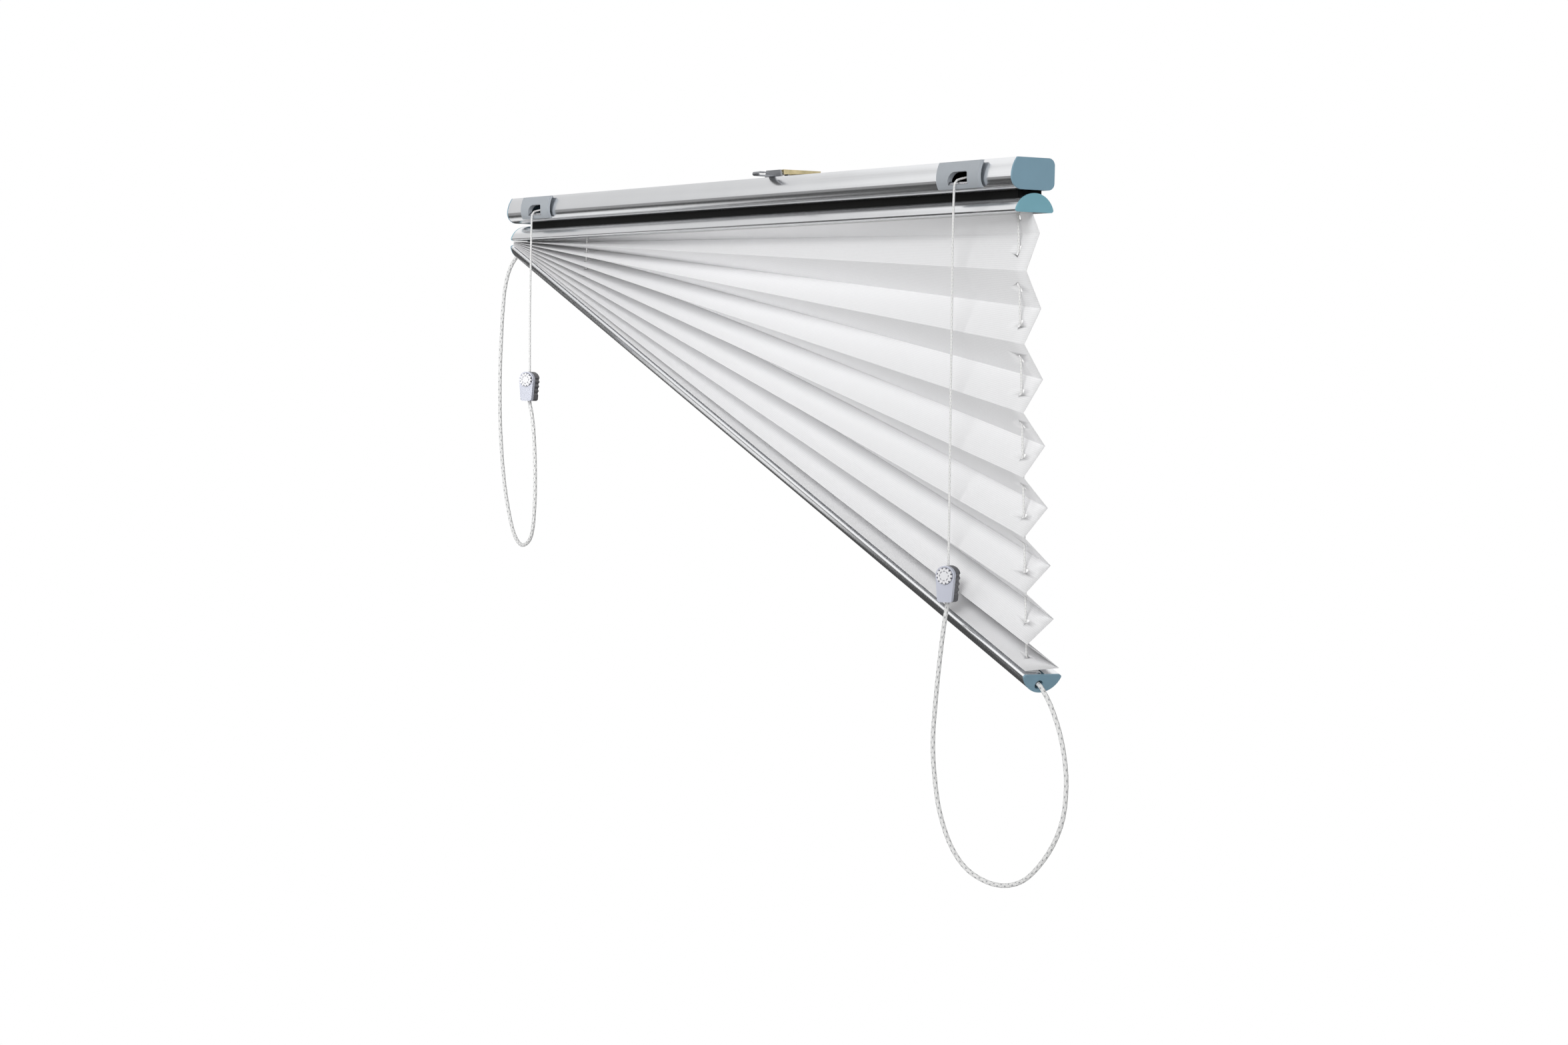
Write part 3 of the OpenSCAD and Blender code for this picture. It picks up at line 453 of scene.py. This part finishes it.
def makeCloth(s):
    n, flat, stack = s["folds"], railSet["flat"], railSet["stack"]
    xl = railSet["left"] + s["inset"]
    xr = railSet["left"] + railSet["length"] - s["inset"]
    lowX, _, lowZ = lowerPoint(railSet["lowerLength"] - s["inset"])
    drop = flat - lowZ
    lean = (lowX - xr) / drop

    def evenShare(k):
        return (k + s["first"]) / (n - 1 + s["first"] + s["last"])

    def hungShare(k):
        q = (k + s["first"]) / (n - 2 + s["first"] + s["last"])
        return (1 + s["bias"]) * q - s["bias"] * q * q

    # the last fold lies on the lower rail
    def share(k):
        last = hungShare(n - 2)
        return hungShare(k) if k <= n - 2 else last + (1 - last) * (k - n + 2) / 2

    # rows down the section: slot top, slot mouth, folds, lower slot mouth, hem
    stops = [("slot", -s["wall"]), ("edge", 0.0)]
    stops += [("fold", k) for k in range(n)]
    stops += [("edge", 1.0), ("slot", s["hem"])]

    # depth to the back and drop below the upper rail of one stop, u of the way along the rail
    def sectionPoint(stop, u):
        def mix(p, q):
            return p + (q - p) * u

        kind, k = stop
        if kind == "slot":
            return 0.0, k if k < 0 else mix(stack, drop) + k
        shut, wide = stack - 2 * s["gap"], drop - 2 * s["gap"]
        if kind == "edge":
            return 0.0, s["gap"] + mix(shut, wide) * k
        down = s["gap"] + mix(shut * evenShare(k), wide * share(k))
        shutPitch = shut * (evenShare(k + 0.5) - evenShare(k - 0.5))
        widePitch = wide * (share(k + 0.5) - share(k - 0.5))
        depth = math.sqrt(max(s["face"] ** 2 - mix(shutPitch, widePitch) ** 2, 1))
        return (1 if k % 2 == 0 else -1) * depth / 2, down

    rows = []
    for i in range(len(stops) - 1):
        parts = s["faceRows"] if stops[i][0] != "slot" and stops[i + 1][0] != "slot" else (0.0,)
        rows += [(i, t) for t in parts]
    rows.append((len(stops) - 1, 0.0))
    bm = bmesh.new()
    uv = bm.loops.layers.uv.new("UVMap")
    bmesh.ops.create_grid(bm, x_segments=s["columns"], y_segments=len(rows) - 1, size=1)
    run = {}
    for v in bm.verts:
        u = ((v.co.x + 1) / 2) ** s["spread"]
        i, t = rows[round((1 - v.co.y) / 2 * (len(rows) - 1))]
        y0, d0 = sectionPoint(stops[i], u)
        y1, d1 = sectionPoint(stops[min(i + 1, len(stops) - 1)], u)
        y, d = y0 + (y1 - y0) * t, d0 + (d1 - d0) * t
        q = min(max(d / (stack + (drop - stack) * u), 0), 1)
        f0, f1 = (s["flare"] if stops[min(j, len(stops) - 1)][0] == "fold" else 0.0 for j in (i, i + 1))
        x = xl + (xr + lean * q * drop - 4 * s["bow"] * q * (1 - q) + f0 + (f1 - f0) * t - xl) * u
        run[v] = (x * mm, ((i + t) * s["face"]) * mm)
        v.co = Vector((x, y, flat - d)) * mm
    for f in bm.faces:
        for l in f.loops:
            l[uv].uv = run[l.vert]
    bmesh.ops.recalc_face_normals(bm, faces=bm.faces)
    area = sum(f.calc_area() for f in bm.faces)
    return addPiece("pleated_sheet", bm, finishes["cloth"], s["crease"]), area


def punchCloth(cloth, s):
    # thickness, then the round holes along both lift cords
    thick = cloth.modifiers.new("thickness", "SOLIDIFY")
    thick.thickness, thick.offset = s["thickness"] * mm, 0
    bores = []
    for side in ("left", "right"):
        c = liftSet[side]
        top, low = Vector((c["x"], 0, railSet["flat"])) * mm, Vector(lowerPoint(c["along"])) * mm
        radius = s["holeRadius"] * mm
        bm = bmesh.new()
        bmesh.ops.create_cone(bm, cap_ends=True, segments=s["holeSides"], radius1=radius, radius2=radius,
                              depth=(low - top).length + 2 * s["holePast"] * mm)
        turn = (top - low).to_track_quat("Z", "Y").to_matrix().to_4x4()
        bmesh.ops.transform(bm, matrix=Matrix.Translation((top + low) / 2) @ turn, verts=bm.verts)
        bores.append(addPiece("bore_" + side, bm, finishes["cloth"]))
        cut = cloth.modifiers.new("hole_" + side, "BOOLEAN")
        cut.operation, cut.solver, cut.object = "DIFFERENCE", "EXACT", bores[-1]
    depsgraph = bpy.context.evaluated_depsgraph_get()
    done = bpy.data.meshes.new_from_object(cloth.evaluated_get(depsgraph), depsgraph=depsgraph)
    cloth.modifiers.clear()
    cloth.data = done
    for b in bores:
        bpy.data.objects.remove(b)


cloth, clothArea = makeCloth(clothSet)
punchCloth(cloth, clothSet)
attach(cloth, "head_assembly")
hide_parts("pleated_fabric")
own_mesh(cloth)
print("cloth made, area", round(clothArea, 4))


# finishes of the solids that are shown as they are
nodeFinish = dict(
    aluminium=["head_rail", "upper_rail", "lower_rail"],
    capBlue=["head_cap", "lower_cap"],
    capCyan=["upper_cap"],
    outletGrey=["cord_outlet"],
    black=["rail_carrier", "rail_hanger"],
    nylon=["drop_guide", "upper_strip", "lower_strip"],
    steel=["outlet_pin", "outlet_roller", "loop_anchor", "lift_anchor", "connector_spring", "clip_rivets"],
    spring=["clip_spring"],
    zinc=["clip_plate"],
    shell=["connector_front"],
    rib=["connector_rear"],
    button=["connector_button"],
)


def finishSolids(table):
    for finish, names in table.items():
        for full in [name + end for name in names for end in ("", "_left", "_right")]:
            if full in nodes:
                mesh = nodes[full].data
                mesh.materials.clear()
                mesh.materials.append(finishes[finish])
    print("solids finished")


finishSolids(nodeFinish)


# pale floor well below the hanging blind, white to the camera, and soft studio light
stageSet = dict(
    floor=-0.62, size=12.0, floorColour=(0.86, 0.86, 0.86, 1), floorRoughness=0.9, worldLight=0.36,
    # glowing cards that show only in reflections: a painted dark reflection under the blind and painted pale
    # reflections at its left
    cards=(("dark reflection glow", (-6, -6, -0.6), (6, 6, -0.6), 0.07),
           ("white reflection glow", (-1.2, -0.38, -0.59), (-1.2, 0.06, -0.34), 1.0),
           ("soft reflection glow", (-1.2, -0.7, 0.02), (-1.2, -0.1, 0.7), 0.7),
           ("grey reflection glow", (-3.2, -3.2, -0.59), (-3.2, -0.9, 0.3), 0.3)),
    key=dict(place=(1.95, -2.05, 1.15), aim=(-0.05, 0, -0.13), size=1.1, power=39.0),
    fill=dict(place=(-0.4, -1.6, 1.3), aim=(-0.1, 0, -0.1), size=1.4, power=5.0),
    folds=dict(place=(0.5, -2.7, -0.05), aim=(-0.2, 0, -0.09), size=0.25, power=160.0, cone=11.0),
)


def blankMaterial(name):
    mat = bpy.data.materials.new(name)
    mat.use_nodes = True
    return mat, mat.node_tree


def makeFloor(s):
    bm = bmesh.new()
    bmesh.ops.create_grid(bm, x_segments=1, y_segments=1, size=s["size"])
    bmesh.ops.translate(bm, verts=bm.verts, vec=(0, 0, s["floor"]))
    mat, tree = blankMaterial("pale floor")
    shader = tree.nodes["Principled BSDF"]
    shader.inputs["Base Color"].default_value = s["floorColour"]
    shader.inputs["Roughness"].default_value = s["floorRoughness"]
    glow = tree.nodes.new("ShaderNodeEmission")
    mix = tree.nodes.new("ShaderNodeMixShader")
    path = tree.nodes.new("ShaderNodeLightPath")
    tree.links.new(path.outputs["Is Camera Ray"], mix.inputs["Fac"])
    tree.links.new(shader.outputs["BSDF"], mix.inputs[1])
    tree.links.new(glow.outputs["Emission"], mix.inputs[2])
    tree.links.new(mix.outputs["Shader"], tree.nodes["Material Output"].inputs["Surface"])
    floor = addPiece("floor", bm, mat)


# glowing cards seen only in reflections, which paint dark and pale reflections on the metal: a dark sheet
# under the blind, the others at its left
def makeCards(s):
    for name, low, high, level in s["cards"]:
        bm = bmesh.new()
        bmesh.ops.create_grid(bm, x_segments=1, y_segments=1, size=1)
        for v in bm.verts:
            x, z = (low[0], low[2]) if v.co.x < 0 else (high[0], high[2])
            v.co = (x, low[1] if v.co.y < 0 else high[1], z)
        mat, tree = blankMaterial(name)
        # each card glows at its level though it is no lamp, making a painted reflection on the metal
        glow = tree.nodes.new("ShaderNodeEmission")
        glow.inputs["Color"].default_value = (level, level, level, 1)
        tree.links.new(glow.outputs["Emission"], tree.nodes["Material Output"].inputs["Surface"])
        card = addPiece(name, bm, mat)
        # hidden from the camera, from diffuse light and from shadows, so it shows only as a painted
        # reflection
        card.visible_camera = card.visible_diffuse = card.visible_shadow = card.visible_transmission = False


# even light on the blind, and white where the camera or a reflection looks past it
def makeWorld(s):
    world = bpy.data.worlds.new("studio")
    scene.world = world
    world.use_nodes = True
    tree = world.node_tree
    base = tree.nodes["Background"]
    base.inputs["Color"].default_value = (1, 1, 1, 1)
    path = tree.nodes.new("ShaderNodeLightPath")
    seen = path.outputs["Is Camera Ray"]
    for ray in ("Is Transmission Ray", "Is Glossy Ray"):
        either = tree.nodes.new("ShaderNodeMath")
        either.operation = "MAXIMUM"
        tree.links.new(seen, either.inputs[0])
        tree.links.new(path.outputs[ray], either.inputs[1])
        seen = either.outputs["Value"]
    level = tree.nodes.new("ShaderNodeMapRange")
    level.inputs["To Min"].default_value = s["worldLight"]
    level.inputs["To Max"].default_value = 1.0
    tree.links.new(seen, level.inputs["Value"])
    tree.links.new(level.outputs["Result"], base.inputs["Strength"])


def aimLamp(name, data, s):
    data.energy = s["power"]
    lamp = bpy.data.objects.new(name, data)
    turn = (Vector(s["place"]) - Vector(s["aim"])).to_track_quat("Z", "Y").to_matrix().to_4x4()
    lamp.matrix_world = Matrix.Translation(s["place"]) @ turn
    scene.collection.objects.link(lamp)


def makeLamps(s):
    for name in ("key", "fill"):
        data = bpy.data.lights.new(name, "AREA")
        data.size = s[name]["size"]
        aimLamp(name, data, s[name])
    # narrow soft lamp that reaches into the closed folds at the left
    data = bpy.data.lights.new("folds", "SPOT")
    data.shadow_soft_size, data.spot_blend = s["folds"]["size"], 1.0
    data.spot_size = math.radians(s["folds"]["cone"])
    aimLamp("folds", data, s["folds"])


for makePart in (makeFloor, makeCards, makeWorld, makeLamps):
    makePart(stageSet)
scene.view_settings.view_transform = "Standard"
print("stage lit")
